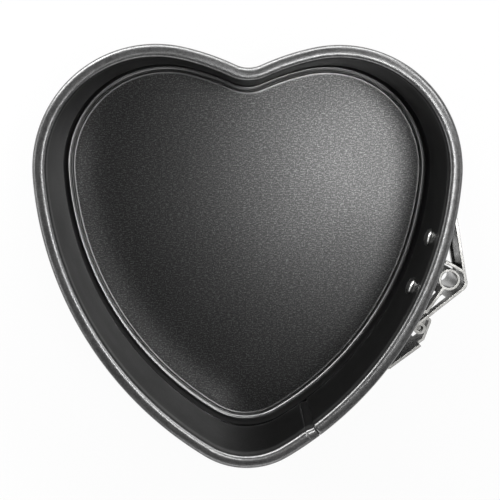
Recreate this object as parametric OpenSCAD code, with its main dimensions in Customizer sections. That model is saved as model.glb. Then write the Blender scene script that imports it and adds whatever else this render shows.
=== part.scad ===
// Heart-shaped springform pan: a sheet-steel side band lapped over itself and closed by a snap lever,
// with a separate pressed base plate that sits in a groove near the foot of the band.
// Origin: under the middle of the heart, on the surface the pan stands on. +Y points to the cleft.

/* [Pan] */
// Inside width of the heart at the rim
pan_w = 101.6; // [90:0.2:150]
// Height of the band
pan_h = 45; // [40:0.5:70]
// Thickness of the band's sheet
sheet_t = 0.45; // [0.35:0.05:0.55]
// Outer radius of the rolled rim
rim_r = 1.35; // [1.25:0.05:1.8]

/* [Groove] */
// How far the groove stands out from the wall
groove_out = 3; // [2.8:0.1:4]
// Height at which the wall starts to curve out into the groove
groove_top = 12.2; // [11:0.1:14]
// Height of the ledge that the base plate rests on
ledge_z = 3.1; // [2.5:0.1:4]

/* [Base plate] */
// Thickness of the base plate
base_t = 0.8; // [0.6:0.05:1]
// Height of the ridge that runs round the plate, under the wall
ridge_h = 0.65; // [0.4:0.05:0.8]
// How far the middle panel is pressed up
panel_rise = 0.6; // [0.3:0.05:0.7]
// Distance from the wall to the edge of the panel
panel_in = 1.75; // [1.5:0.05:3]

/* [Seam] */
// Gap between the two layers where the band laps over itself
lap_gap = 0.08; // [0.05:0.01:0.12]
// Length of the open joggle, where only the outer layer shows
joggle = 2.4; // [1.5:0.1:4]
// Distance along the band from the barrel down to the inner end of the band
seam_run = 49.5; // [47:0.5:51]
// Distance along the band from the barrel down to the outer end of the band
lap_end_run = 11.5; // [11.5:0.5:16]

/* [Latch] */
// Height of the lever and the keeper
latch_h = 15; // [14:0.5:17]
// Height of the latch's middle above the foot
latch_z = 29.5; // [27:0.5:31]
// Thickness of the latch's strip steel
strip_t = 0.8; // [0.6:0.05:0.9]
// Height of the rails above and below the windows
rail_h = 3.4; // [3:0.1:4]
// Outer diameter of the keeper's rolled barrel
barrel_d = 5.6; // [5.2:0.1:6]
// Distance from the wall to the middle of the barrel
barrel_out = 6.6; // [6.4:0.1:7.5]
// Distance from the wall to the lever's hinge pin
hinge_out = 4; // [3.8:0.1:4.4]
// Distance along the band from the barrel down to the hinge pin
hinge_run = 14.5; // [14:0.1:16]
// Outer diameter of the hinge knuckles
knuckle_d = 3.2; // [3:0.1:3.6]
// Length of the handle
handle_l = 16.5; // [12:0.5:20]
// Gap between the claw and the barrel
claw_gap = 0.5; // [0.3:0.05:0.7]

/* [Rivets] */
// Diameter of the rivet shanks
rivet_d = 2.4; // [2:0.1:3]
// Diameter of the rivet heads
rivet_head_d = 4.8; // [4:0.1:5.5]
// Height of the rivet heads
rivet_head_h = 1.2; // [0.8:0.1:1.4]
// Distance along the band from the barrel up to the first rivet
rivet_up = 8.4; // [7:0.1:9.5]
// Distance along the band from the barrel down to the second rivet
rivet_down = 5.5; // [4:0.1:6.5]

/* [Hidden] */
$fn = 180;

coat = "#3b3b3d";
coat_dark = "#2f2f31";
plated = "#c4c6c9";

// Heart: four arcs on each half and one round the tip, each given by its radius as a multiple of
// the lobe's and by the heading at its end, in degrees, walking clockwise from the cleft.
cleft_k = 0.372;
shoulder_k = 2.13;
side_k = 3.11;
head = [0, 24.6, 12.1, -93.9, -148.55, -180];
unit_r = [-cleft_k, shoulder_k, 1, side_k];

function centre_at(p, h, r) = p + r * [sin(h), -cos(h)];
function point_at(c, h, r) = c + r * [-sin(h), cos(h)];
function arc_end(p, i, k) = point_at(centre_at(p, head[i], k * unit_r[i]), head[i + 1], k * unit_r[i]);
function start_of(i, k) = i == 0 ? [0, 0] : arc_end(start_of(i - 1, k), i - 1, k);

// The lobe's radius that gives the wanted width, and from it every other radius.
lobe_r = pan_w / 2 / (centre_at(start_of(2, 1), head[2], 1)[0] + 1);
tip_r = -start_of(4, lobe_r)[0] / sin(head[4]);
heart_r = [for (k = unit_r) k * lobe_r, tip_r];
tip_low = centre_at(start_of(4, lobe_r), head[4], tip_r)[1] - tip_r;
lobe_top = centre_at(start_of(2, lobe_r), head[2], lobe_r)[1] + lobe_r;
mid_y = (lobe_top + tip_low) / 2;
joint = [for (i = [0:4]) start_of(i, lobe_r) - [0, mid_y]];
centre = [for (i = [0:4]) centre_at(joint[i], head[i], heart_r[i])];

// Points round the heart, moved in, that bound the flat middle of the panel
function arc_points(i, in, n = 8) =
    [for (k = [0:n - 1]) centre[i] + (heart_r[i] - in) * polar(head[i] + 90 + (head[i + 1] - head[i]) * k / n)];
function half_core(in) = [for (i = [0:4]) each arc_points(i, in)];
function mirrored(points) = [for (k = [len(points) - 1:-1:1]) [-points[k][0], points[k][1]]];
function panel_core(in) = concat(half_core(in), mirrored(half_core(in)));

// Section of the band, x outward from the wall's inner face
shoulder_r = 3.2;
swing = 60;
hip_r = groove_out / (1 - cos(swing)) - shoulder_r;
corner_r = 0.8;
hem_r = 1.2;
roll_start = 180;
roll_end = -95;
lap_roll_end = -60;
lap = sheet_t + lap_gap;

// Side arc, which carries the seam and the latch
side_c = centre[3];
side_r = heart_r[3];
wall_r = side_r + sheet_t;
latch_a = -19.9;
function run_angle(run) = round(run / wall_r * 18000 / PI) / 100;
seam_a = latch_a - run_angle(seam_run);
joggle_a = seam_a - run_angle(joggle);
step_a = run_angle(1);
lap_end_a = latch_a - run_angle(lap_end_run);

// Base plate
edge_gap = 0.1;
base_edge = groove_out - corner_r - edge_gap;
base_top = ledge_z + base_t;
ridge_r = 0.75;
panel_edge_r = 0.5;
panel_strip = 6;

// Latch heights
z_low = latch_z - latch_h / 2;
z_gap = 0.3;
window_h = latch_h - 2 * rail_h;
tongue_h = window_h - 2 * z_gap;
blank_h = latch_h + 2;
rib_z = 4.3;
rib_d = 0.9;

// Latch plan: x outward from the wall, y up along the band, from the foot of the barrel
barrel_p = [barrel_out, 0];
hinge_p = [hinge_out, -hinge_run];
reach = norm(barrel_p - hinge_p);
barrel_dir = atan2(barrel_p[1] - hinge_p[1], barrel_p[0] - hinge_p[0]);
barrel_t = 0.7;
seat_gap = 0.04;
pin_fit = 0.05;
pin_seat = 0.02;

// Rolls and bends are this much thicker on each side than the strips that run into them.
proud = 0.03;
meet = 0.2;
roll_r = (knuckle_d - strip_t) / 2 - proud;
pin_d = knuckle_d - 2 * strip_t - 4 * proud - 2 * pin_fit;

// Keeper: the leg leans in towards the wall and ends in a fold short of the hinge
fold_run = hinge_run - 4.6;
fold_p = [hinge_out + 0.1, -fold_run];

// Bracket: the tongue runs outside the hinge, turns back over a hook and rolls round the pin
hook_r = 0.7;
tongue_x = hinge_out + roll_r + 2 * hook_r;
hook_y = 2.1 - hinge_run;
knee_p = [tongue_x, -hinge_run - 2.7];
ramp_p = [0.3, -hinge_run - 12.3];
shoulder_l = 1.6;
foot_run = hinge_run + 15;
foot_l = 8;

// Lever: the arm and the handle pass the barrel at the same distance and meet in a bend over it
pass_r = barrel_d / 2 + strip_t / 2 + 0.9;
bend_r = 2;
arm_dir = barrel_dir - asin((pass_r + roll_r) / reach);
handle_dir = 120;
bend_mid = (arm_dir + handle_dir) / 2 - 90;
bend_c = barrel_p + (pass_r - bend_r) / cos((handle_dir - arm_dir) / 2) * polar(bend_mid);
arm_start = hinge_p + roll_r * polar(arm_dir + 90);
arm_end = bend_c + bend_r * polar(arm_dir - 90);
handle_start = bend_c + bend_r * polar(handle_dir - 90);
arm_window = reach - 4.2;

// The claw is round about the hinge, so it swings clear of the barrel.
claw_r = reach + barrel_d / 2 + claw_gap + strip_t / 2;
claw_pass = (barrel_p - hinge_p) * polar(handle_dir - 90) + pass_r;
claw_from = handle_dir - 90 + acos(claw_pass / claw_r);
claw_to = 88.7;

function polar(a) = [cos(a), sin(a)];
function wall_x(y, r = wall_r) = sqrt(r * r - y * y) - wall_r;

// Strips are drawn as tall blanks and then cut to height, so that their edges are one flat face.
module cut_to(h) {
    reach_out = 100;
    intersection() {
        children();
        translate([-reach_out / 2, -reach_out / 2, 0])
            cube([reach_out, reach_out, h]);
    }
}

// A flat strip standing on edge from p to q
module bar(p, q, t = strip_t) {
    translate([p[0], p[1], -1])
        rotate(atan2(q[1] - p[1], q[0] - p[0]))
            translate([0, -t / 2, 0])
                cube([norm(q - p), t, blank_h]);
}

// A strip standing on edge, bent round c from angle a to angle b
module bend(c, r, a, b, t = strip_t) {
    translate([c[0], c[1], -1])
        rotate_extrude(angle = b - a, start = a)
            translate([r - t / 2, 0])
                square([t, blank_h]);
}

// A fold: the round corner between two strips, a touch thicker than they are
module fold(p, t = strip_t) {
    translate([p[0], p[1], -1])
        cylinder(d = t + 0.04, h = blank_h);
}

module tube(p, d, t) {
    translate([p[0], p[1], -1])
        difference() {
            cylinder(d = d, h = blank_h);
            translate([0, 0, -1])
                cylinder(d = d - 2 * t, h = blank_h + 2);
        }
}

// Places what is drawn in the latch's plan on the band
module on_band() {
    translate([side_c[0], side_c[1], 0])
        rotate(latch_a)
            translate([wall_r, 0, 0])
                children();
}

// A piece of ring between two angles, for the section's bends
module ring_part(c, r, a, b, t) {
    far = 2 * (r + t);
    half = (a + b) / 2;
    translate(c)
        intersection() {
            difference() {
                circle(r = r + t);
                if (r > 0) circle(r = r);
            }
            polygon([[0, 0], far * polar(a), far * polar(half), far * polar(b)]);
        }
}

// Section of one layer of the band, moved out by o: rolled rim, wall, groove, ledge and hem
module band_section(o = 0, turn_end = roll_end) {
    t = sheet_t;
    rim_c = [rim_r, pan_h - rim_r];
    shoulder_c = [shoulder_r, groove_top];
    hip_c = [groove_out - hip_r, groove_top - (shoulder_r + hip_r) * sin(swing)];
    corner_c = [groove_out - corner_r, ledge_z + corner_r];
    third = (turn_end - roll_start) / 3;
    for (part = [0, 1, 2])
        ring_part(rim_c, rim_r - o - t, roll_start + (part + 1) * third, roll_start + part * third, t);
    translate([o, groove_top])
        square([t, rim_c[1] - groove_top]);
    ring_part(shoulder_c, shoulder_r - o - t, 180, 180 + swing, t);
    ring_part(hip_c, hip_r + o, 0, swing, t);
    translate([groove_out + o, corner_c[1]])
        square([t, hip_c[1] - corner_c[1]]);
    ring_part(corner_c, corner_r + o, -90, 0, t);
    translate([hem_r, ledge_z - o - t])
        square([corner_c[0] - hem_r, t]);
    ring_part([hem_r, ledge_z - hem_r], hem_r - o - t, 90, 180, t);
    translate([o, 0])
        square([t, ledge_z - hem_r]);
}

// Moves its children by whole microns and then by what is left, so that neighbouring arcs meet exactly
module place(p) {
    micron = [for (v = p) floor(v * 1000) / 1000];
    translate(micron)
        translate(p - micron)
            children();
}

// Carries a section round one arc of the heart, from angle a to angle b
module along_arc(i, a, b) {
    place([centre[i][0], centre[i][1], 0])
        rotate_extrude(angle = b - a, start = a)
            place([abs(heart_r[i]), 0])
                if (heart_r[i] > 0)
                    children();
                else
                    mirror([1, 0])
                        children();
}

// The arcs that both halves share: cleft, shoulder, lobe, tip
module along_shared() {
    along_arc(0, -90 - head[1], -90 + head[1])
        children();
    for (side = [0, 1])
        mirror([side, 0, 0])
            for (i = [1, 2])
                along_arc(i, head[i + 1] + 90, head[i] + 90)
                    children();
    along_arc(4, -180 - head[4] - 90, head[4] + 90)
        children();
}

// Carries a section all round the heart
module along_heart() {
    along_shared()
        children();
    for (side = [0, 1])
        mirror([side, 0, 0])
            along_arc(3, head[4] + 90, head[3] + 90)
                children();
}

// The band: one strip, which laps over itself from the seam up to the latch
module side_band() {
    color(coat)
        difference() {
            union() {
                along_shared()
                    band_section();
                mirror([1, 0, 0])
                    along_arc(3, head[4] + 90, head[3] + 90)
                        band_section();
                along_arc(3, seam_a, head[3] + 90)
                    band_section();
                along_arc(3, head[4] + 90, joggle_a)
                    band_section();
                along_arc(3, joggle_a - step_a, lap_end_a)
                    band_section(lap, lap_roll_end);
                along_arc(3, joggle_a - step_a, joggle_a)
                    joggle_fill();
            }
            rivet_holes();
        }
}

// Joins the two layers over the short step below the seam
module joggle_fill() {
    overlap = 0.05;
    translate([sheet_t - overlap, groove_top])
        square([lap_gap + 2 * overlap, pan_h - 2 * rim_r - 1 - groove_top]);
    translate([groove_out + sheet_t - overlap, ledge_z + corner_r])
        square([lap_gap + 2 * overlap, 2]);
}

// The base plate: a pressed sheet with a ridge under the wall and a raised panel inside it
module base_plate() {
    color(coat_dark) {
        along_heart()
            base_section();
        translate([0, 0, ledge_z + panel_rise])
            linear_extrude(base_t)
                polygon(panel_core(panel_in + panel_strip / 2));
    }
}

// Section of the plate's border: panel, step, ridge and flange
module base_section() {
    step_x = -panel_in - base_t;
    edge_c = [-panel_in - panel_edge_r, base_top + panel_rise - panel_edge_r];
    translate([step_x, ledge_z])
        square([base_edge - step_x, base_t]);
    translate([-ridge_r, 0])
        intersection() {
            translate([ridge_r, base_top + ridge_h - ridge_r])
                circle(r = ridge_r);
            translate([0, ledge_z])
                square([2 * ridge_r, base_t + ridge_h]);
        }
    translate([-panel_in - panel_strip, ledge_z + panel_rise])
        square([panel_strip - panel_edge_r, base_t]);
    translate([step_x, ledge_z + base_t / 2])
        square([base_t - panel_edge_r, base_t / 2 + panel_rise]);
    translate([edge_c[0], ledge_z + base_t / 2])
        square([panel_edge_r, edge_c[1] - ledge_z - base_t / 2]);
    ring_part(edge_c, 0, 0, 90, panel_edge_r);
}

// Rivets lie level, square to the wall
module at_rivets() {
    for (run = [rivet_up, -rivet_down])
        translate([side_c[0], side_c[1], latch_z])
            rotate(latch_a + run_angle(run))
                rotate([0, 90, 0])
                    children();
}

module rivet_holes() {
    at_rivets()
        translate([0, 0, side_r - 2])
            cylinder(d = rivet_d + 2 * pin_seat, h = 4);
}

// The keeper: a plate riveted to the band, folded back on itself and rolled into a hollow barrel
module keeper() {
    color(plated)
        difference() {
            on_band()
                translate([0, 0, z_low])
                    keeper_sheet();
            at_rivets()
                translate([0, 0, wall_r - 1])
                    cylinder(d = rivet_d + 2 * pin_seat, h = 3);
        }
}

module keeper_sheet() {
    plate_r = wall_r + seat_gap + strip_t / 2;
    plate_top = run_angle(rivet_up + rivet_head_d / 2 + 1.4);
    leg_dir = atan2(fold_p[1] - barrel_p[1], fold_p[0] - barrel_p[0]);
    leg_foot = [wall_x(fold_run, plate_r), -fold_run];
    window_from = 1.8;
    difference() {
        cut_to(latch_h) {
            tube(barrel_p, barrel_d, barrel_t);
            bar(barrel_p + (barrel_d - barrel_t) / 2 * polar(leg_dir), fold_p);
            fold(fold_p);
            fold(leg_foot);
            bar(leg_foot, fold_p);
            bend([-wall_r, 0], plate_r, -asin(fold_run / plate_r), plate_top);
        }
        // Window in the leg and its fold
        translate([window_from, -fold_run - strip_t, rail_h])
            cube([barrel_out - window_from, fold_run - barrel_d / 2 - strip_t, window_h]);
    }
}

// One rivet: shank, a domed head inside the pan and a smaller one outside
module rivet(length) {
    seat = 0.04;
    cylinder(d = rivet_d, h = length);
    translate([0, 0, -seat])
        mirror([0, 0, 1])
            dome(rivet_head_d, rivet_head_h);
    translate([0, 0, length])
        dome(rivet_head_d * 0.8, rivet_head_h * 0.7);
    translate([0, 0, -seat])
        cylinder(d = rivet_d, h = seat);
}

module dome(d, h) {
    r = (d * d / 4 + h * h) / (2 * h);
    intersection() {
        translate([0, 0, h - r])
            sphere(r = r);
        cylinder(d = d, h = h);
    }
}

module keeper_rivets() {
    color(plated)
        at_rivets()
            translate([0, 0, side_r])
                rivet(sheet_t + seat_gap + strip_t + pin_seat);
}

// The hinge bracket: a foot on the outer end of the band, a ramp, and a lower tongue that turns
// back through the lever's window and rolls round the hinge pin
module lever_bracket() {
    color(plated)
        on_band() {
            translate([0, 0, z_low])
                cut_to(latch_h)
                    bracket_plate();
            translate([0, 0, z_low + rail_h + z_gap])
                cut_to(tongue_h)
                    bracket_tongue();
        }
}

module bracket_plate() {
    foot_r = wall_r + lap + seat_gap + strip_t / 2;
    foot_p = [wall_x(foot_run, foot_r), -foot_run];
    foot_a = -asin(foot_run / foot_r);
    ramp_dir = atan2(knee_p[1] - ramp_p[1], knee_p[0] - ramp_p[0]);
    bend([-wall_r, 0], foot_r, foot_a - run_angle(foot_l), foot_a);
    fold(foot_p);
    bar(foot_p, ramp_p);
    fold(ramp_p);
    bar(ramp_p, knee_p - shoulder_l * polar(ramp_dir));
}

module bracket_tongue() {
    back_x = hinge_out + roll_r;
    bar(ramp_p, knee_p);
    fold(knee_p);
    bar(knee_p, [tongue_x, hook_y]);
    bend([back_x + hook_r, hook_y], hook_r, 0, 180);
    bar([back_x, -hinge_run], [back_x, hook_y]);
    tube(hinge_p, knuckle_d, (knuckle_d - pin_d) / 2 - pin_seat);
}

// The hinge pin stops short of the knuckles' ends.
module hinge_pin() {
    pin_l = latch_h - 3;
    color(plated)
        on_band()
            translate([hinge_p[0], hinge_p[1], latch_z - pin_l / 2])
                cylinder(d = pin_d, h = pin_l);
}

// The lever: two knuckles on the hinge pin, a windowed arm, a bend over the barrel, the claw that
// hooks behind the barrel, and the handle
module lever() {
    color(plated)
        on_band()
            translate([0, 0, z_low]) {
                difference() {
                    cut_to(latch_h)
                        lever_strip();
                    translate([hinge_p[0], hinge_p[1], rail_h])
                        rotate(arm_dir)
                            translate([-knuckle_d, -knuckle_d, 0])
                                cube([knuckle_d + arm_window, 2 * knuckle_d, window_h]);
                }
                handle_rib();
            }
}

module lever_strip() {
    tip = handle_start + handle_l * polar(handle_dir);
    tube(hinge_p, knuckle_d, strip_t + 2 * proud);
    bar(arm_start + meet * polar(arm_dir), arm_end + meet * polar(arm_dir));
    bend(bend_c, bend_r, arm_dir - 90, handle_dir - 90, strip_t + 2 * proud);
    bar(handle_start - meet * polar(handle_dir), tip);
    fold(tip);
    bend(hinge_p, claw_r, claw_from, claw_to);
    fold(hinge_p + claw_r * polar(claw_to));
}

// A rib pressed along the inner face of the handle
module handle_rib() {
    rib_at = handle_start + strip_t / 2 * polar(handle_dir + 90);
    translate([rib_at[0], rib_at[1], rib_z])
        rotate(handle_dir)
            translate([bend_r, 0, 0])
                rotate([0, 90, 0])
                    cylinder(d = rib_d, h = handle_l - 2 * bend_r);
}

side_band();
base_plate();
keeper();
keeper_rivets();
lever_bracket();
hinge_pin();
lever();
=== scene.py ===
"""Heart springform pan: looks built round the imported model, in metres and in its frame."""

import math

import bmesh
import bpy
import numpy as np
from mathutils import Matrix, Vector


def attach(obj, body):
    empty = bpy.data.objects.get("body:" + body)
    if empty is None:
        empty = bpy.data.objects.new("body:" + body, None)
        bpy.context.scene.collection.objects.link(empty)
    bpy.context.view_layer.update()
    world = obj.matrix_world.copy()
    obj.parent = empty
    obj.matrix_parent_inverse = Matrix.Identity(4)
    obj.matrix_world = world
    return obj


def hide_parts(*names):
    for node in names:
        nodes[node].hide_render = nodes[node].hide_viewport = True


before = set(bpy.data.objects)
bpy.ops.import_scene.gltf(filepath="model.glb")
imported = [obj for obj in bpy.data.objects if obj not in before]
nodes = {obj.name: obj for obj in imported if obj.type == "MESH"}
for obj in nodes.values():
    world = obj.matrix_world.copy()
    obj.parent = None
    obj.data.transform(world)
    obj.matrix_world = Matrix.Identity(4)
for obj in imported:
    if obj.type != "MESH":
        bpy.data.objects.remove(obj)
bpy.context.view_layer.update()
scene = bpy.context.scene
scene.view_settings.view_transform = "Standard"


# The photograph looks almost straight down into the pan from about 27 cm above the rim, with
# the spot straight below the lens a little above the picture's middle.
PICTURE_PX = 500
FOCAL_PX = 1084.5
BELOW_PX = (239.0, 141.8)
EYE = Vector((-0.00226, 0.02966, 0.315))
TURN = math.radians(-0.28)

half = PICTURE_PX / 2
up = -Vector(((BELOW_PX[0] - half) / FOCAL_PX, (half - BELOW_PX[1]) / FOCAL_PX, -1.0)).normalized()
right = Vector((math.cos(TURN), math.sin(TURN), 0.0))
right = (right - right.dot(up) * up).normalized()
turned = Matrix((right, up.cross(right), up))
camera_data = bpy.data.cameras.new("photo_camera")
camera_data.sensor_width = 36.0
camera_data.lens = FOCAL_PX / PICTURE_PX * camera_data.sensor_width
camera_data.clip_start = 0.01
camera = bpy.data.objects.new("photo_camera", camera_data)
camera.matrix_world = Matrix.Translation(EYE) @ turned.to_4x4()
scene.collection.objects.link(camera)
scene.camera = camera


# A white table in a dim room with a white backdrop. The table shows white to the camera and in
# reflections, and still carries the pan's soft shadow.
def add_node(tree, kind, links=None, **settings):
    """Adds a node with its settings, and joins {input name or index: a socket or a value} to it."""
    node = tree.nodes.new(kind)
    for name, value in settings.items():
        setattr(node, name, value)
    for name, source in (links or {}).items():
        if isinstance(source, bpy.types.NodeSocket):
            tree.links.new(source, node.inputs[name])
        else:
            node.inputs[name].default_value = source
    return node


def from_hex(code):
    """An sRGB hex colour as linear red, green, blue and alpha."""
    parts = np.array([int(code[i:i + 2], 16) for i in (1, 3, 5)]) / 255
    linear = np.where(parts <= 0.04045, parts / 12.92, ((parts + 0.055) / 1.055) ** 2.4)
    return (*(float(v) for v in linear), 1.0)


def new_material(name):
    """An empty node material with its output."""
    material = bpy.data.materials.new(name)
    material.use_nodes = True
    material.node_tree.nodes.clear()
    output = material.node_tree.nodes.new("ShaderNodeOutputMaterial")
    return material, material.node_tree, output


TABLE_HALF = 0.6
SHADOW_KEPT = 0.07
table_mesh = bpy.data.meshes.new("table")
table_mesh.from_pydata(
    [(x * TABLE_HALF, y * TABLE_HALF, 0.0) for x, y in ((-1, -1), (1, -1), (1, 1), (-1, 1))],
    [], [(0, 1, 2, 3)])
table = bpy.data.objects.new("table", table_mesh)
scene.collection.objects.link(table)
paper, tree, output = new_material("matt_white_paper")
path = add_node(tree, "ShaderNodeLightPath")
seen = add_node(tree, "ShaderNodeMath", {0: path.outputs["Is Camera Ray"],
                                         1: path.outputs["Is Transmission Ray"]}, operation="MAXIMUM")
mirrored = add_node(tree, "ShaderNodeMath", {0: seen.outputs[0], 1: path.outputs["Is Glossy Ray"]},
                    operation="MAXIMUM")
lit = add_node(tree, "ShaderNodeMath", {0: mirrored.outputs[0], 1: 1 - SHADOW_KEPT}, operation="MULTIPLY")
matt = add_node(tree, "ShaderNodeBsdfDiffuse", {"Color": from_hex("#e6e6e6")})
white = add_node(tree, "ShaderNodeEmission", {"Color": (1, 1, 1, 1), "Strength": 1.0})
shown = add_node(tree, "ShaderNodeMixShader", {0: lit.outputs[0], 1: matt.outputs[0],
                                               2: white.outputs[0]})
tree.links.new(shown.outputs[0], output.inputs["Surface"])
table_mesh.materials.append(paper)

ROOM_LIGHT = 0.15
world = bpy.data.worlds.new("studio")
scene.world = world
world.use_nodes = True
tree = world.node_tree
tree.nodes.clear()
path = add_node(tree, "ShaderNodeLightPath")
level = add_node(tree, "ShaderNodeMapRange", {"Value": path.outputs["Is Camera Ray"], "To Min": ROOM_LIGHT})
sky = add_node(tree, "ShaderNodeBackground", {"Color": (1, 1, 1, 1), "Strength": level.outputs["Result"]})
output = add_node(tree, "ShaderNodeOutputWorld", {"Surface": sky.outputs[0]})


def softbox(name, place, aim, size, power):
    """A rectangular area lamp at a place, turned towards a point."""
    lamp = bpy.data.lights.new(name, "AREA")
    lamp.shape = "RECTANGLE"
    lamp.size, lamp.size_y = size
    lamp.energy = power
    holder = bpy.data.objects.new(name, lamp)
    way = (Vector(aim) - Vector(place)).normalized()
    holder.matrix_world = Matrix.Translation(place) @ way.to_track_quat("-Z", "Y").to_matrix().to_4x4()
    scene.collection.objects.link(holder)


# A small box overhead gives the base its soft gleam. Low banks on all sides, brightest to the north,
# draw the bright lines along the rolled rim, the ridge and the latch.
softbox("top_box", (0.101, 0.023, 0.55), (0.04, 0.02, 0.0), (0.10, 0.13), 0.70)
softbox("north_bank", (0.0, 0.70, 0.30), (0.0, 0.0, 0.045), (1.0, 0.34), 7.0)
softbox("north_east_box", (0.47, 0.38, 0.58), (0.0, 0.0, 0.045), (0.30, 0.22), 1.6)
softbox("north_west_box", (-0.52, 0.54, 0.30), (0.0, 0.0, 0.045), (0.5, 0.34), 4.2)
softbox("east_bank", (0.75, -0.10, 0.35), (0.0, 0.0, 0.045), (0.7, 0.3), 0.75)
softbox("south_bank", (0.0, -0.75, 0.35), (0.0, 0.0, 0.045), (0.9, 0.3), 1.8)
softbox("west_bank", (-0.75, -0.10, 0.35), (0.0, 0.0, 0.045), (0.7, 0.3), 1.4)


# One strip of sheet steel, rim rolled outwards over itself, a groove pressed outwards near the
# foot, bent into a heart and lapped over itself on the right. Baked non-stick coating.
MM = 0.001
SHEET = 0.45
HEIGHT = 45.0
BEAD_HALF_W = 1.7
BEAD_IN = 0.45
BEAD_NECK = 6.5
BEAD_HALF_H = 1.3
BEAD_OUTER_POWER = 2.8
BEAD_INNER_POWER = 2.5
BEAD_LEAN = 0.1
# How far below the neck, in mm, the rim's painted sheen fades into the wall's painted shade.
PAINTED_SHEEN_FADE = 2.5
GROOVE_OUT = 3.0
GROOVE_TOP = 14.2
LEDGE = 3.1
LAP = SHEET + 0.08
SHOULDER_R = 4.4
SWING = 60.0
HIP_R = GROOVE_OUT / (1 - math.cos(math.radians(SWING))) - SHOULDER_R
CORNER_R = 0.8
HEM_R = 1.2
INSIDE_W = 101.6


def heart_arcs(width):
    """The heart's right half as arcs (centre x, centre y, radius, first and last heading in degrees).

    Each arc is given by its radius as a multiple of the lobe's and by its headings, walked
    clockwise from the cleft; the tip's radius closes the half on the line of symmetry."""
    heads = [0.0, 24.6, 12.1, -93.9, -148.55, -180.0]
    ratios = [-0.372, 2.13, 1.0, 3.11]

    def walk(lobe):
        point, arcs = np.zeros(2), []
        for i, ratio in enumerate(ratios):
            radius, a, b = ratio * lobe, math.radians(heads[i]), math.radians(heads[i + 1])
            centre = point + radius * np.array([math.sin(a), -math.cos(a)])
            arcs.append((centre, radius))
            point = centre + radius * np.array([-math.sin(b), math.cos(b)])
        a = math.radians(heads[4])
        radius = -point[0] / math.sin(a)
        arcs.append((point + radius * np.array([math.sin(a), -math.cos(a)]), radius))
        return arcs

    unit = walk(1.0)
    arcs = walk(width / 2 / (unit[2][0][0] + 1.0))
    middle = (arcs[2][0][1] + arcs[2][1] + arcs[4][0][1] - arcs[4][1]) / 2
    return [(c[0], c[1] - middle, r, heads[i], heads[i + 1]) for i, (c, r) in enumerate(arcs)]


ARCS = heart_arcs(INSIDE_W)


def heart_path(step):
    """Points and outward normals about step mm apart, clockwise from the cleft, once round.

    On an arc the point is centre + radius * (-sin h, cos h) at heading h, and the normal is
    (-sin h, cos h); the left half mirrors the right one. The last point isn't the first again."""
    headings, centres, radii = [], [], []
    for x, y, r, a, b in ARCS:
        n = max(2, int(abs(r * math.radians(b - a)) / step))
        h = np.radians(a + (b - a) * np.arange(n) / n)
        headings.append(h)
        centres.append(np.repeat([[x, y]], n, axis=0))
        radii.append(np.full(n, r))
    h, c, r = np.concatenate(headings), np.concatenate(centres), np.concatenate(radii)
    normal = np.stack([-np.sin(h), np.cos(h)], axis=1)
    point = c + r[:, None] * normal
    tip = np.array([[0.0, ARCS[4][1] - ARCS[4][2]]])
    point = np.concatenate([point, tip, point[:0:-1] * (-1, 1)])
    normal = np.concatenate([normal, [[0.0, -1.0]], normal[:0:-1] * (-1, 1)])
    return point, normal


def arc(cx, cz, r, a, b, n):
    """n points of an arc in the section plane from angle a to b in degrees; r may be an array."""
    t = np.radians(np.linspace(a, b, n))
    r = np.asarray(r, float).reshape(-1, 1)
    return np.stack([cx + r * np.cos(t), cz + r * np.sin(t)], axis=-1)


def band_centreline(out, nest, roll_end):
    """Middle of the sheet from the end of the roll down to the foot, one line per station.

    The roll is a superellipse, flatter on top than a circle: its half width times |cos|**(2/power)
    and its half height times |sin|**(2/power), with a power of its own on the outer side, and it
    leans down outwards. The wall lies out from the inner layer's, and draws in by a smooth S
    towards the bead. The roll is smaller by nest, so that the outer layer's bead sits inside the
    inner layer's. The result is stations x points x (x, z)."""
    mid = np.asarray(out, float) + SHEET / 2
    half_w = (BEAD_HALF_W - SHEET / 2 - np.asarray(nest, float))[:, None]
    half_h = (BEAD_HALF_H - SHEET / 2 - np.asarray(nest, float))[:, None]
    hip_x, hip_z = GROOVE_OUT - HIP_R, GROOVE_TOP - (SHOULDER_R + HIP_R) * math.sin(math.radians(SWING))
    turn = np.radians(np.linspace(roll_end, 180, 34))
    power = np.where(np.cos(turn) > 0, BEAD_OUTER_POWER, BEAD_INNER_POWER)
    round_x = np.sign(np.cos(turn)) * np.abs(np.cos(turn)) ** (2 / power)
    round_z = np.sign(np.sin(turn)) * np.abs(np.sin(turn)) ** (2 / power)
    lean = BEAD_LEAN * half_w * (1 + round_x)
    roll = np.stack([mid[:, None] - BEAD_IN + half_w * (1 + round_x),
                     HEIGHT - BEAD_HALF_H + half_h * round_z - lean], axis=-1)
    shoulder = arc(SHOULDER_R, GROOVE_TOP, SHOULDER_R - mid, 180, 180 + SWING, 7)
    hip = arc(hip_x, hip_z, HIP_R + mid, SWING, 0, 7)
    corner = arc(GROOVE_OUT - CORNER_R, LEDGE + CORNER_R, CORNER_R + mid, 0, -90, 6)
    hem = arc(HEM_R, LEDGE - HEM_R, HEM_R - mid, 90, 180, 6)
    wall_z = np.concatenate([np.linspace(HEIGHT - BEAD_HALF_H - 0.6, HEIGHT - BEAD_NECK, 9),
                             np.linspace(HEIGHT - BEAD_NECK - 4, GROOVE_TOP + 2, 3)])
    neck = np.clip((wall_z - HEIGHT + BEAD_NECK) / (BEAD_NECK - BEAD_HALF_H), 0, 1)
    wall = np.stack(np.broadcast_arrays(mid[:, None] - BEAD_IN * neck * neck * (3 - 2 * neck), wall_z[None]),
                    axis=-1)
    foot = np.stack([mid, np.full_like(mid, SHEET / 2)], axis=-1)[:, None]
    return np.concatenate([roll, wall, shoulder, hip, corner, hem, foot], axis=1)


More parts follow.
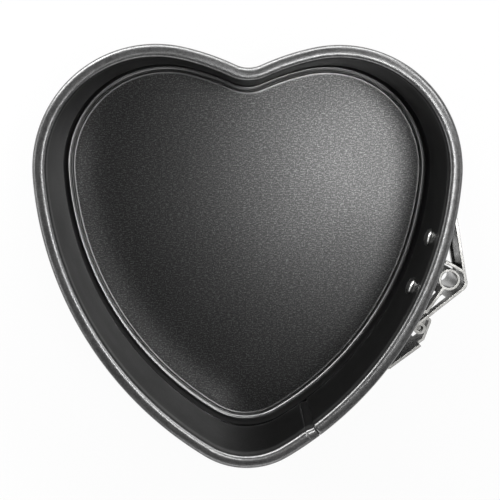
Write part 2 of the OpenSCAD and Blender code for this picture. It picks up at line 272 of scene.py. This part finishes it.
def thicken(line, thickness, round_n=3):
    """Closed loop round a centreline: both faces at half the thickness, ends half round."""
    along = np.gradient(line, axis=1)
    along /= np.linalg.norm(along, axis=2, keepdims=True)
    side = np.stack([-along[..., 1], along[..., 0]], axis=-1)
    h = thickness / 2
    turn = np.radians(np.linspace(90, -90, round_n + 2)[1:-1])[None, :, None]
    start = line[:, :1] - h * (np.cos(turn) * along[:, :1] - np.sin(turn) * side[:, :1])
    end = line[:, -1:] + h * (np.cos(turn) * along[:, -1:] + np.sin(turn) * side[:, -1:])
    return np.concatenate([line + h * side, end, (line - h * side)[:, ::-1], start], axis=1)


def swept(name, rings, closed, material, open_loop=False):
    """A closed skin over stations x loop points x 3: quads between rings, polygons over the ends.

    With open_loop the loop runs from one rim to another, and a polygon closes each rim."""
    m, n, _ = rings.shape
    i = np.arange(m if closed else m - 1)[:, None]
    j = np.arange(n - 1 if open_loop else n)[None]
    on, up_j = (i + 1) % m, (j + 1) % n
    faces = np.stack([i * n + j, i * n + up_j, on * n + up_j, on * n + j], axis=-1).reshape(-1, 4).tolist()
    if open_loop:
        faces += [(np.arange(m) * n).tolist(), (np.arange(m)[::-1] * n + n - 1).tolist()]
    if not closed:
        faces += [np.arange(n)[::-1].tolist(), ((m - 1) * n + np.arange(n)).tolist()]
    mesh = bpy.data.meshes.new(name)
    mesh.from_pydata((rings.reshape(-1, 3) * MM).tolist(), [], faces)
    shape = bmesh.new()
    shape.from_mesh(mesh)
    bmesh.ops.recalc_face_normals(shape, faces=shape.faces)
    shape.to_mesh(mesh)
    shape.free()
    mesh.polygons.foreach_set("use_smooth", [True] * len(mesh.polygons))
    mesh.materials.append(material)
    piece = bpy.data.objects.new(name, mesh)
    scene.collection.objects.link(piece)
    return piece


LATCH_ANGLE = -19.9
SEAM_RUN = 49.5
STEP_L = 2.4
BEAD_STEP = 0.25
LAP_END_RUN = 11.5
side_x, side_y, side_r = ARCS[3][:3]
outer_r = side_r + SHEET


def side_angle(run):
    """Polar angle on the right side arc at a distance along the wall below the barrel."""
    return LATCH_ANGLE - math.degrees(run / outer_r)


path_p, path_n = heart_path(0.8)
polar = np.degrees(np.arctan2(path_p[:, 1] - side_y, path_p[:, 0] - side_x))
from_side = np.abs(np.hypot(path_p[:, 0] - side_x, path_p[:, 1] - side_y) - side_r)
on_side = (path_n[:, 0] > 0) & (from_side < 0.01)


def side_stations(a, b, n):
    """Points and normals on the right side arc from polar angle a to b."""
    t = np.radians(np.linspace(a, b, n))
    normal = np.stack([np.cos(t), np.sin(t)], axis=1)
    return np.array([side_x, side_y]) + side_r * normal, normal


# The outer layer starts under the latch, steps inwards just below the seam and becomes the wall.
# Its bead is never wider than the inner layer's, so the rim has no bump at the seam.
seam_angle = side_angle(SEAM_RUN)
step_angle = side_angle(SEAM_RUN + STEP_L)
lap_end_angle = side_angle(LAP_END_RUN)
side_first = int(np.argmax(on_side))
side_last = len(on_side) - 1 - int(np.argmax(on_side[::-1]))
side_top = ARCS[3][3] + 90
side_low = ARCS[3][4] + 90
stretches = [
    side_stations(lap_end_angle, seam_angle, 60),
    side_stations(seam_angle, step_angle, 30),
    side_stations(step_angle, side_low, 12),
    (path_p[side_last + 1:], path_n[side_last + 1:]),
    (path_p[:side_first], path_n[:side_first]),
    side_stations(side_top, seam_angle, 110),
]
counts = [len(points) for points, _ in stretches]
band_p = np.concatenate([points for points, _ in stretches])
band_n = np.concatenate([normals for _, normals in stretches])
gone = (np.arange(counts[1]) + 0.5) / counts[1]
ramp = 0.5 + 0.5 * np.cos(np.pi * gone)
bead_ramp = 0.5 + 0.5 * np.cos(np.pi * np.clip(gone / BEAD_STEP, 0, 1))
shift = np.zeros(len(band_p))
nest = np.zeros(len(band_p))
shift[:counts[0]] = nest[:counts[0]] = LAP
shift[counts[0]:counts[0] + counts[1]] = LAP * ramp
nest[counts[0]:counts[0] + counts[1]] = LAP * np.maximum(ramp / 2, bead_ramp)
line = np.concatenate([band_centreline(shift[k:k + 1], nest[k:k + 1], -95 + 35 * nest[k] / LAP)
                       for k in range(len(shift))])
loop = thicken(line, SHEET)
rings = np.concatenate([
    band_p[:, None, :] + band_n[:, None, :] * loop[..., :1],
    loop[..., 1:],
], axis=-1)
run = np.concatenate([[0.0], np.cumsum(np.linalg.norm(np.diff(band_p, axis=0), axis=1))])

# A dark non-stick coating filled with mica: its metallic sheen shows as soft bright lines on the bends.
# Its colour is painted paler on the rim as a painted sheen and darker on the wall as painted shade,
# and the rolls leave it faintly drawn out along the strip.
coating, tree, output = new_material("mica_filled_non_stick_coating")
strip = add_node(tree, "ShaderNodeAttribute", attribute_name="strip_place").outputs["Vector"]
drawn = add_node(tree, "ShaderNodeVectorMath", {0: strip, 1: (520.0, 2600.0, 1.0)}, operation="MULTIPLY")
place = add_node(tree, "ShaderNodeTexCoord").outputs["Object"]
streak = add_node(tree, "ShaderNodeTexNoise", {"Vector": drawn.outputs[0], "Scale": 1.0, "Detail": 3.0,
                                               "Roughness": 0.6})
speck = add_node(tree, "ShaderNodeTexNoise", {"Vector": place, "Scale": 2600.0, "Detail": 2.0})
cloud = add_node(tree, "ShaderNodeTexNoise", {"Vector": place, "Scale": 90.0, "Detail": 3.0})
both = add_node(tree, "ShaderNodeMath", {0: streak.outputs["Fac"], 1: speck.outputs["Fac"]},
                operation="ADD")
tone = add_node(tree, "ShaderNodeMapRange", {"Value": both.outputs[0], "From Min": 0.75,
                                             "From Max": 1.25})
# Two copies of the coating's colour: a darker one as painted shade on the wall, a paler one as painted sheen
# on the rim.
painted_shade_wall_colour = add_node(tree, "ShaderNodeMix", {"Factor": tone.outputs["Result"], "A": from_hex("#2f2f2f"),
                                              "B": from_hex("#464646")}, data_type="RGBA")
painted_sheen_roll_colour = add_node(tree, "ShaderNodeMix", {"Factor": tone.outputs["Result"], "A": from_hex("#646464"),
                                              "B": from_hex("#868686")}, data_type="RGBA")
rolled = add_node(tree, "ShaderNodeAttribute", attribute_name="rolled").outputs["Fac"]
shade = add_node(tree, "ShaderNodeMix", {"Factor": rolled, "A": painted_shade_wall_colour.outputs["Result"],
                                         "B": painted_sheen_roll_colour.outputs["Result"]}, data_type="RGBA")
rough = add_node(tree, "ShaderNodeMapRange", {"Value": cloud.outputs["Fac"], "From Min": 0.3,
                                              "From Max": 0.7, "To Min": 0.30, "To Max": 0.35})
bump = add_node(tree, "ShaderNodeBump", {"Height": both.outputs[0], "Strength": 0.5,
                                         "Distance": 0.00002})
coat = add_node(tree, "ShaderNodeBsdfPrincipled", {
    "Base Color": shade.outputs["Result"], "Metallic": 0.96, "Roughness": rough.outputs["Result"],
    "Normal": bump.outputs["Normal"], "IOR": 1.5})
tree.links.new(coat.outputs[0], output.inputs["Surface"])

band = swept("side_band_sheet", rings, False, coating)
across = np.concatenate([[0.0], np.cumsum(np.linalg.norm(np.diff(loop[0], axis=0), axis=1))])
strip_place = np.stack([*np.broadcast_arrays(run[:, None], across[None]), np.zeros(rings.shape[:2])], axis=-1)
band.data.attributes.new("strip_place", "FLOAT_VECTOR", "POINT").data.foreach_set(
    "vector", (strip_place * MM).ravel())
# Mask for the rim's painted sheen: 1 on the roll, fading to 0 (the wall's painted shade) below the neck.
painted_sheen_mask = np.clip((rings[..., 2] - HEIGHT + BEAD_NECK) / PAINTED_SHEEN_FADE, 0, 1)
band.data.attributes.new("rolled", "FLOAT", "POINT").data.foreach_set(
    "value", painted_sheen_mask.ravel().astype(np.float32))
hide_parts("side_band")
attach(band, "pan")


# The base is a loose plate of pressed sheet steel that rests on the band's ledge: a flange in
# the groove, a ridge under the wall and a raised panel. It has the same non-stick coating, rolled
# on over a linen-like embossing.
BASE_T = 0.8
RIDGE_H = 0.6
RIDGE_INNER = 0.95
RIDGE_OUTER = 0.9
PANEL_RISE = 0.6
PANEL_IN = 1.0
PANEL_STEP = 0.42
EDGE_LIFT = 0.045
EDGE_LIFT_AT = 1.55
EDGE_LIFT_HALF = 0.42
CORE_IN = 6.0
EMBOSSED_FROM = 1.55
BASE_EDGE = GROOVE_OUT - CORNER_R - 0.1


def plate_height(x):
    """Height added to the flange: a cosine for the ridge, wider on its inner side, a smooth S for
    the panel and a low raised cosine along the panel's edge, where the press draws the sheet up."""
    side = np.where(x < 0, RIDGE_INNER, RIDGE_OUTER)
    ridge = RIDGE_H * np.cos(np.clip(x / side, -1, 1) * np.pi / 2)
    lift = EDGE_LIFT * np.cos(np.clip((x + EDGE_LIFT_AT) / EDGE_LIFT_HALF, -1, 1) * np.pi / 2) ** 2
    t = np.clip((-PANEL_IN + 0.1 - x) / PANEL_STEP, 0, 1)
    return ridge + lift + PANEL_RISE * t * t * (3 - 2 * t)


edge_r = BASE_T / 4
top_x = np.concatenate([[-CORE_IN, -4.0, -3.2], np.linspace(-2.2, -0.9, 26), np.linspace(-0.84, 0.9, 25),
                        [1.6, BASE_EDGE - edge_r]])
top = np.stack([top_x, LEDGE + BASE_T + plate_height(top_x)], axis=-1)
under = np.stack([top_x, LEDGE + plate_height(top_x)], axis=-1)[::-1]
upper_round = arc(BASE_EDGE - edge_r, LEDGE + BASE_T - edge_r, edge_r, 90, 0, 5)[0][1:]
lower_round = arc(BASE_EDGE - edge_r, LEDGE + edge_r, edge_r, 0, -90, 5)[0][:-1]
plate_line = np.concatenate([top, upper_round, lower_round, under])
plate_p, plate_n = heart_path(0.8)
plate_rings = np.concatenate([
    plate_p[:, None, :] + plate_n[:, None, :] * plate_line[None, :, :1],
    np.broadcast_to(plate_line[None, :, 1:], (len(plate_p), len(plate_line), 1)),
], axis=-1)

# The embossing is flecks about 1.1 mm long and 0.3 mm high, drawn across the pan, and the mica in
# the coating makes single flecks shine. The plain border is painted paler, the same painted sheen as the rim.
# Stacking has left a faint drag mark near the upper lobe.
linen, tree, output = new_material("linen_embossed_non_stick_coating")
place = add_node(tree, "ShaderNodeTexCoord").outputs["Object"]
woven = add_node(tree, "ShaderNodeVectorMath", {0: place, 1: (900.0, 3500.0, 900.0)},
                 operation="MULTIPLY")
fleck = add_node(tree, "ShaderNodeTexNoise", {"Vector": woven.outputs[0], "Scale": 1.0, "Detail": 1.0,
                                              "Roughness": 0.5})
mica = add_node(tree, "ShaderNodeTexNoise", {"Vector": place, "Scale": 2900.0, "Detail": 0.0})
cloud = add_node(tree, "ShaderNodeTexNoise", {"Vector": place, "Scale": 55.0, "Detail": 3.0})
panel = add_node(tree, "ShaderNodeAttribute", attribute_name="embossed").outputs["Fac"]
both = add_node(tree, "ShaderNodeMath", {0: fleck.outputs["Fac"], 1: mica.outputs["Fac"]},
                operation="ADD")
spread = add_node(tree, "ShaderNodeMapRange", {"Value": both.outputs[0], "From Min": 0.8,
                                               "From Max": 1.3})
bright = add_node(tree, "ShaderNodeMath", {0: spread.outputs["Result"], 1: 1.8}, operation="POWER")
apart = add_node(tree, "ShaderNodeSeparateXYZ", {0: place})
mark_x = add_node(tree, "ShaderNodeMapRange", {"Value": apart.outputs["X"], "From Min": -0.037,
                                               "From Max": -0.022}, interpolation_type="SMOOTHSTEP")
mark_end = add_node(tree, "ShaderNodeMapRange", {"Value": apart.outputs["X"], "From Min": -0.004,
                                                 "From Max": -0.014}, interpolation_type="SMOOTHSTEP")
off_line = add_node(tree, "ShaderNodeMath", {0: apart.outputs["Y"], 1: 0.0441}, operation="SUBTRACT")
off_line = add_node(tree, "ShaderNodeMath", {0: off_line.outputs[0]}, operation="ABSOLUTE")
mark_y = add_node(tree, "ShaderNodeMapRange", {"Value": off_line.outputs[0], "From Min": 0.0009,
                                               "From Max": 0.0}, interpolation_type="SMOOTHSTEP")
mark = add_node(tree, "ShaderNodeMath", {0: mark_x.outputs["Result"], 1: mark_end.outputs["Result"]},
                operation="MULTIPLY")
mark = add_node(tree, "ShaderNodeMath", {0: mark.outputs[0], 1: mark_y.outputs["Result"]},
                operation="MULTIPLY")
worn = add_node(tree, "ShaderNodeMath", {0: mark.outputs[0], 1: -0.45, 2: 1.0}, operation="MULTIPLY_ADD")
tone = add_node(tree, "ShaderNodeMath", {0: bright.outputs[0], 1: worn.outputs[0]}, operation="MULTIPLY")
linen_shade = add_node(tree, "ShaderNodeMix", {"Factor": tone.outputs[0], "A": from_hex("#363636"),
                                               "B": from_hex("#575757")}, data_type="RGBA")
# The plain border's colour is painted paler than the panel's: a painted sheen like the rim's.
border_painted_sheen = add_node(tree, "ShaderNodeMix", {"Factor": cloud.outputs["Fac"], "A": from_hex("#666666"),
                                               "B": from_hex("#929292")}, data_type="RGBA")
shade = add_node(tree, "ShaderNodeMix", {"Factor": panel, "A": border_painted_sheen.outputs["Result"],
                                         "B": linen_shade.outputs["Result"]}, data_type="RGBA")
matted = add_node(tree, "ShaderNodeMapRange", {"Value": cloud.outputs["Fac"], "From Min": 0.3,
                                               "From Max": 0.7, "To Min": 0.28, "To Max": 0.30})
rough = add_node(tree, "ShaderNodeMix", {"Factor": panel, "A": 0.28, "B": matted.outputs["Result"]})
relief = add_node(tree, "ShaderNodeMath", {0: both.outputs[0], 1: panel}, operation="MULTIPLY")
bump = add_node(tree, "ShaderNodeBump", {"Height": relief.outputs[0], "Strength": 0.3,
                                         "Distance": 0.00002})
coat = add_node(tree, "ShaderNodeBsdfPrincipled", {
    "Base Color": shade.outputs["Result"], "Metallic": 0.97, "Roughness": rough.outputs["Result"],
    "Normal": bump.outputs["Normal"], "IOR": 1.5})
tree.links.new(coat.outputs[0], output.inputs["Surface"])

base = swept("base_plate_sheet", plate_rings, True, linen, open_loop=True)
embossed = np.clip((-plate_line[:, 0] - EMBOSSED_FROM) / 0.4, 0, 1)
base.data.attributes.new("embossed", "FLOAT", "POINT").data.foreach_set(
    "value", np.tile(embossed, len(plate_p)).astype(np.float32))
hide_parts("base_plate")
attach(base, "pan")


# The keeper is a strip of plated spring steel, riveted to the band above the seam, folded back on
# itself with a window in it, and rolled into the barrel that the lever's claw pulls on.
EDGE_R = 0.13


def rounded_copy(node, name, material, width):
    """A node's own mesh with its triangles merged into flat faces and its cut edges rounded."""
    mesh = nodes[node].data.copy()
    mesh.name = name
    if "custom_normal" in mesh.attributes:
        mesh.attributes.remove(mesh.attributes["custom_normal"])
    shape = bmesh.new()
    shape.from_mesh(mesh)
    bmesh.ops.remove_doubles(shape, verts=shape.verts, dist=1e-6)
    bmesh.ops.dissolve_limit(shape, angle_limit=math.radians(1.0), verts=shape.verts, edges=shape.edges)
    shape.to_mesh(mesh)
    shape.free()
    mesh.polygons.foreach_set("use_smooth", [True] * len(mesh.polygons))
    mesh.materials.clear()
    mesh.materials.append(material)
    piece = bpy.data.objects.new(name, mesh)
    scene.collection.objects.link(piece)
    rounding = piece.modifiers.new("rounded_edges", "BEVEL")
    rounding.width = width * MM
    rounding.segments = 3
    rounding.limit_method = "ANGLE"
    rounding.angle_limit = math.radians(40)
    rounding.use_clamp_overlap = False
    rounding.harden_normals = True
    return piece


# Zinc plate over cold-rolled strip: a mirror blurred by the rolling lines, which run round the pan,
# with cloudy patches where the bath left it duller. The sheared edges, top and bottom, are painted paler
# and less metallic as a painted highlight.
plate, tree, output = new_material("bright_zinc_plated_spring_steel")
place = add_node(tree, "ShaderNodeTexCoord").outputs["Object"]
rolled = add_node(tree, "ShaderNodeVectorMath", {0: place, 1: (900.0, 900.0, 5200.0)},
                  operation="MULTIPLY")
lines = add_node(tree, "ShaderNodeTexNoise", {"Vector": rolled.outputs[0], "Scale": 1.0, "Detail": 3.0})
cloud = add_node(tree, "ShaderNodeTexNoise", {"Vector": place, "Scale": 420.0, "Detail": 3.0})
# Surfaces facing up or down, the cut edges, get a paler, less metallic colour: a painted highlight.
normal = add_node(tree, "ShaderNodeNewGeometry").outputs["True Normal"]
facing = add_node(tree, "ShaderNodeSeparateXYZ", {0: normal})
upright = add_node(tree, "ShaderNodeMath", {0: facing.outputs["Z"]}, operation="ABSOLUTE")
painted_edge_highlight = add_node(tree, "ShaderNodeMapRange", {"Value": upright.outputs[0], "From Min": 0.7,
                                                "From Max": 0.95}).outputs["Result"]
face_shade = add_node(tree, "ShaderNodeMix", {"Factor": cloud.outputs["Fac"], "A": from_hex("#5a5a59"),
                                              "B": from_hex("#8c8b89")}, data_type="RGBA")
shade = add_node(tree, "ShaderNodeMix", {"Factor": painted_edge_highlight, "A": face_shade.outputs["Result"],
                                         "B": from_hex("#bdbcb9")}, data_type="RGBA")
metal_share = add_node(tree, "ShaderNodeMapRange", {"Value": painted_edge_highlight, "To Min": 1.0, "To Max": 0.55})
rough = add_node(tree, "ShaderNodeMapRange", {"Value": cloud.outputs["Fac"], "From Min": 0.3,
                                              "From Max": 0.7, "To Min": 0.16, "To Max": 0.30})
bump = add_node(tree, "ShaderNodeBump", {"Height": lines.outputs["Fac"], "Strength": 0.35,
                                         "Distance": 0.00002})
zinc = add_node(tree, "ShaderNodeBsdfPrincipled", {
    "Base Color": shade.outputs["Result"], "Metallic": metal_share.outputs["Result"],
    "Roughness": rough.outputs["Result"], "Normal": bump.outputs["Normal"]})
tree.links.new(zinc.outputs[0], output.inputs["Surface"])

keeper = rounded_copy("keeper", "keeper_strip", plate, EDGE_R)
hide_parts("keeper")
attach(keeper, "pan")


# Two rivets hold the keeper: a low domed head inside the pan, the shank through both sheets and a
# smaller head formed outside. Soft steel, plated white, with the marks of the setting tool.
RIVET_Z = 29.5
RIVET_RUNS = (8.4, -5.5)
SHANK_R = 1.2
HEAD_R = 2.4
HEAD_H = 1.2
HEAD_EDGE = 0.15
OUTER_SCALE = 0.8
RIVET_GRIP = SHEET + 0.04 + 0.8


def rivet_profile():
    """Radius and distance along the axis from the inner head's crown to the outer head's crown.

    Each head is an ellipse quarter of its own height and radius that ends in a short upright edge."""
    turn = np.radians(np.linspace(6, 90, 14))
    inner = np.stack([HEAD_R * np.sin(turn),
                      -0.04 - HEAD_EDGE - (HEAD_H - HEAD_EDGE) * np.cos(turn)], axis=-1)
    outer_h = HEAD_H * 0.7
    outer = np.stack([HEAD_R * OUTER_SCALE * np.sin(turn),
                      RIVET_GRIP + HEAD_EDGE + (outer_h - HEAD_EDGE) * np.cos(turn)], axis=-1)[::-1]
    shank = np.array([[HEAD_R, -0.04], [SHANK_R, -0.04], [SHANK_R, RIVET_GRIP],
                      [HEAD_R * OUTER_SCALE, RIVET_GRIP]])
    return np.concatenate([inner, shank, outer])


soft, tree, output = new_material("white_plated_rivet_steel")
place = add_node(tree, "ShaderNodeTexCoord").outputs["Object"]
dimple = add_node(tree, "ShaderNodeTexNoise", {"Vector": place, "Scale": 700.0, "Detail": 2.0})
shade = add_node(tree, "ShaderNodeMix", {"Factor": dimple.outputs["Fac"], "A": from_hex("#c4c4c2"),
                                         "B": from_hex("#f0f0ee")}, data_type="RGBA")
rough = add_node(tree, "ShaderNodeMapRange", {"Value": dimple.outputs["Fac"], "To Min": 0.22,
                                              "To Max": 0.36})
bump = add_node(tree, "ShaderNodeBump", {"Height": dimple.outputs["Fac"], "Strength": 0.3,
                                         "Distance": 0.00006})
steel = add_node(tree, "ShaderNodeBsdfPrincipled", {
    "Base Color": shade.outputs["Result"], "Metallic": 1.0, "Roughness": rough.outputs["Result"],
    "Normal": bump.outputs["Normal"]})
tree.links.new(steel.outputs[0], output.inputs["Surface"])

profile = rivet_profile()
round_t = np.radians(np.linspace(0, 360, 48, endpoint=False))
for number, rivet_run in enumerate(RIVET_RUNS):
    t = math.radians(side_angle(-rivet_run))
    out = np.array([math.cos(t), math.sin(t), 0.0])
    beside = np.array([-math.sin(t), math.cos(t), 0.0])
    middle = np.array([side_x, side_y, RIVET_Z]) + side_r * out
    radial = np.cos(round_t)[:, None] * beside + np.sin(round_t)[:, None] * np.array([0.0, 0.0, 1.0])
    body = middle + profile[None, :, 1:] * out + profile[None, :, :1] * radial[:, None, :]
    rivet = swept(f"keeper_rivet_{number + 1}", body, True, soft, open_loop=True)
    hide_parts("keeper_rivets")
    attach(rivet, "pan")


# The lever's bracket is welded to the band's outer layer: a ramp and a tongue that turns back and
# rolls round the hinge pin, a plain steel wire. All of it is the keeper's plated strip.
bracket = rounded_copy("lever_bracket", "lever_bracket_strip", plate, EDGE_R)
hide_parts("lever_bracket")
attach(bracket, "pan")
pin = rounded_copy("hinge_pin", "hinge_pin_wire", plate, EDGE_R)
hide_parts("hinge_pin")
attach(pin, "pan")


# The lever is one bent strip: two knuckles on the pin, a windowed arm, a bend over the barrel and
# a ribbed handle, with the claw spot-welded inside the bend. It swings away from the pan.
lever = rounded_copy("lever", "lever_strip", plate, EDGE_R)
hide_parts("lever")
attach(lever, "lever")
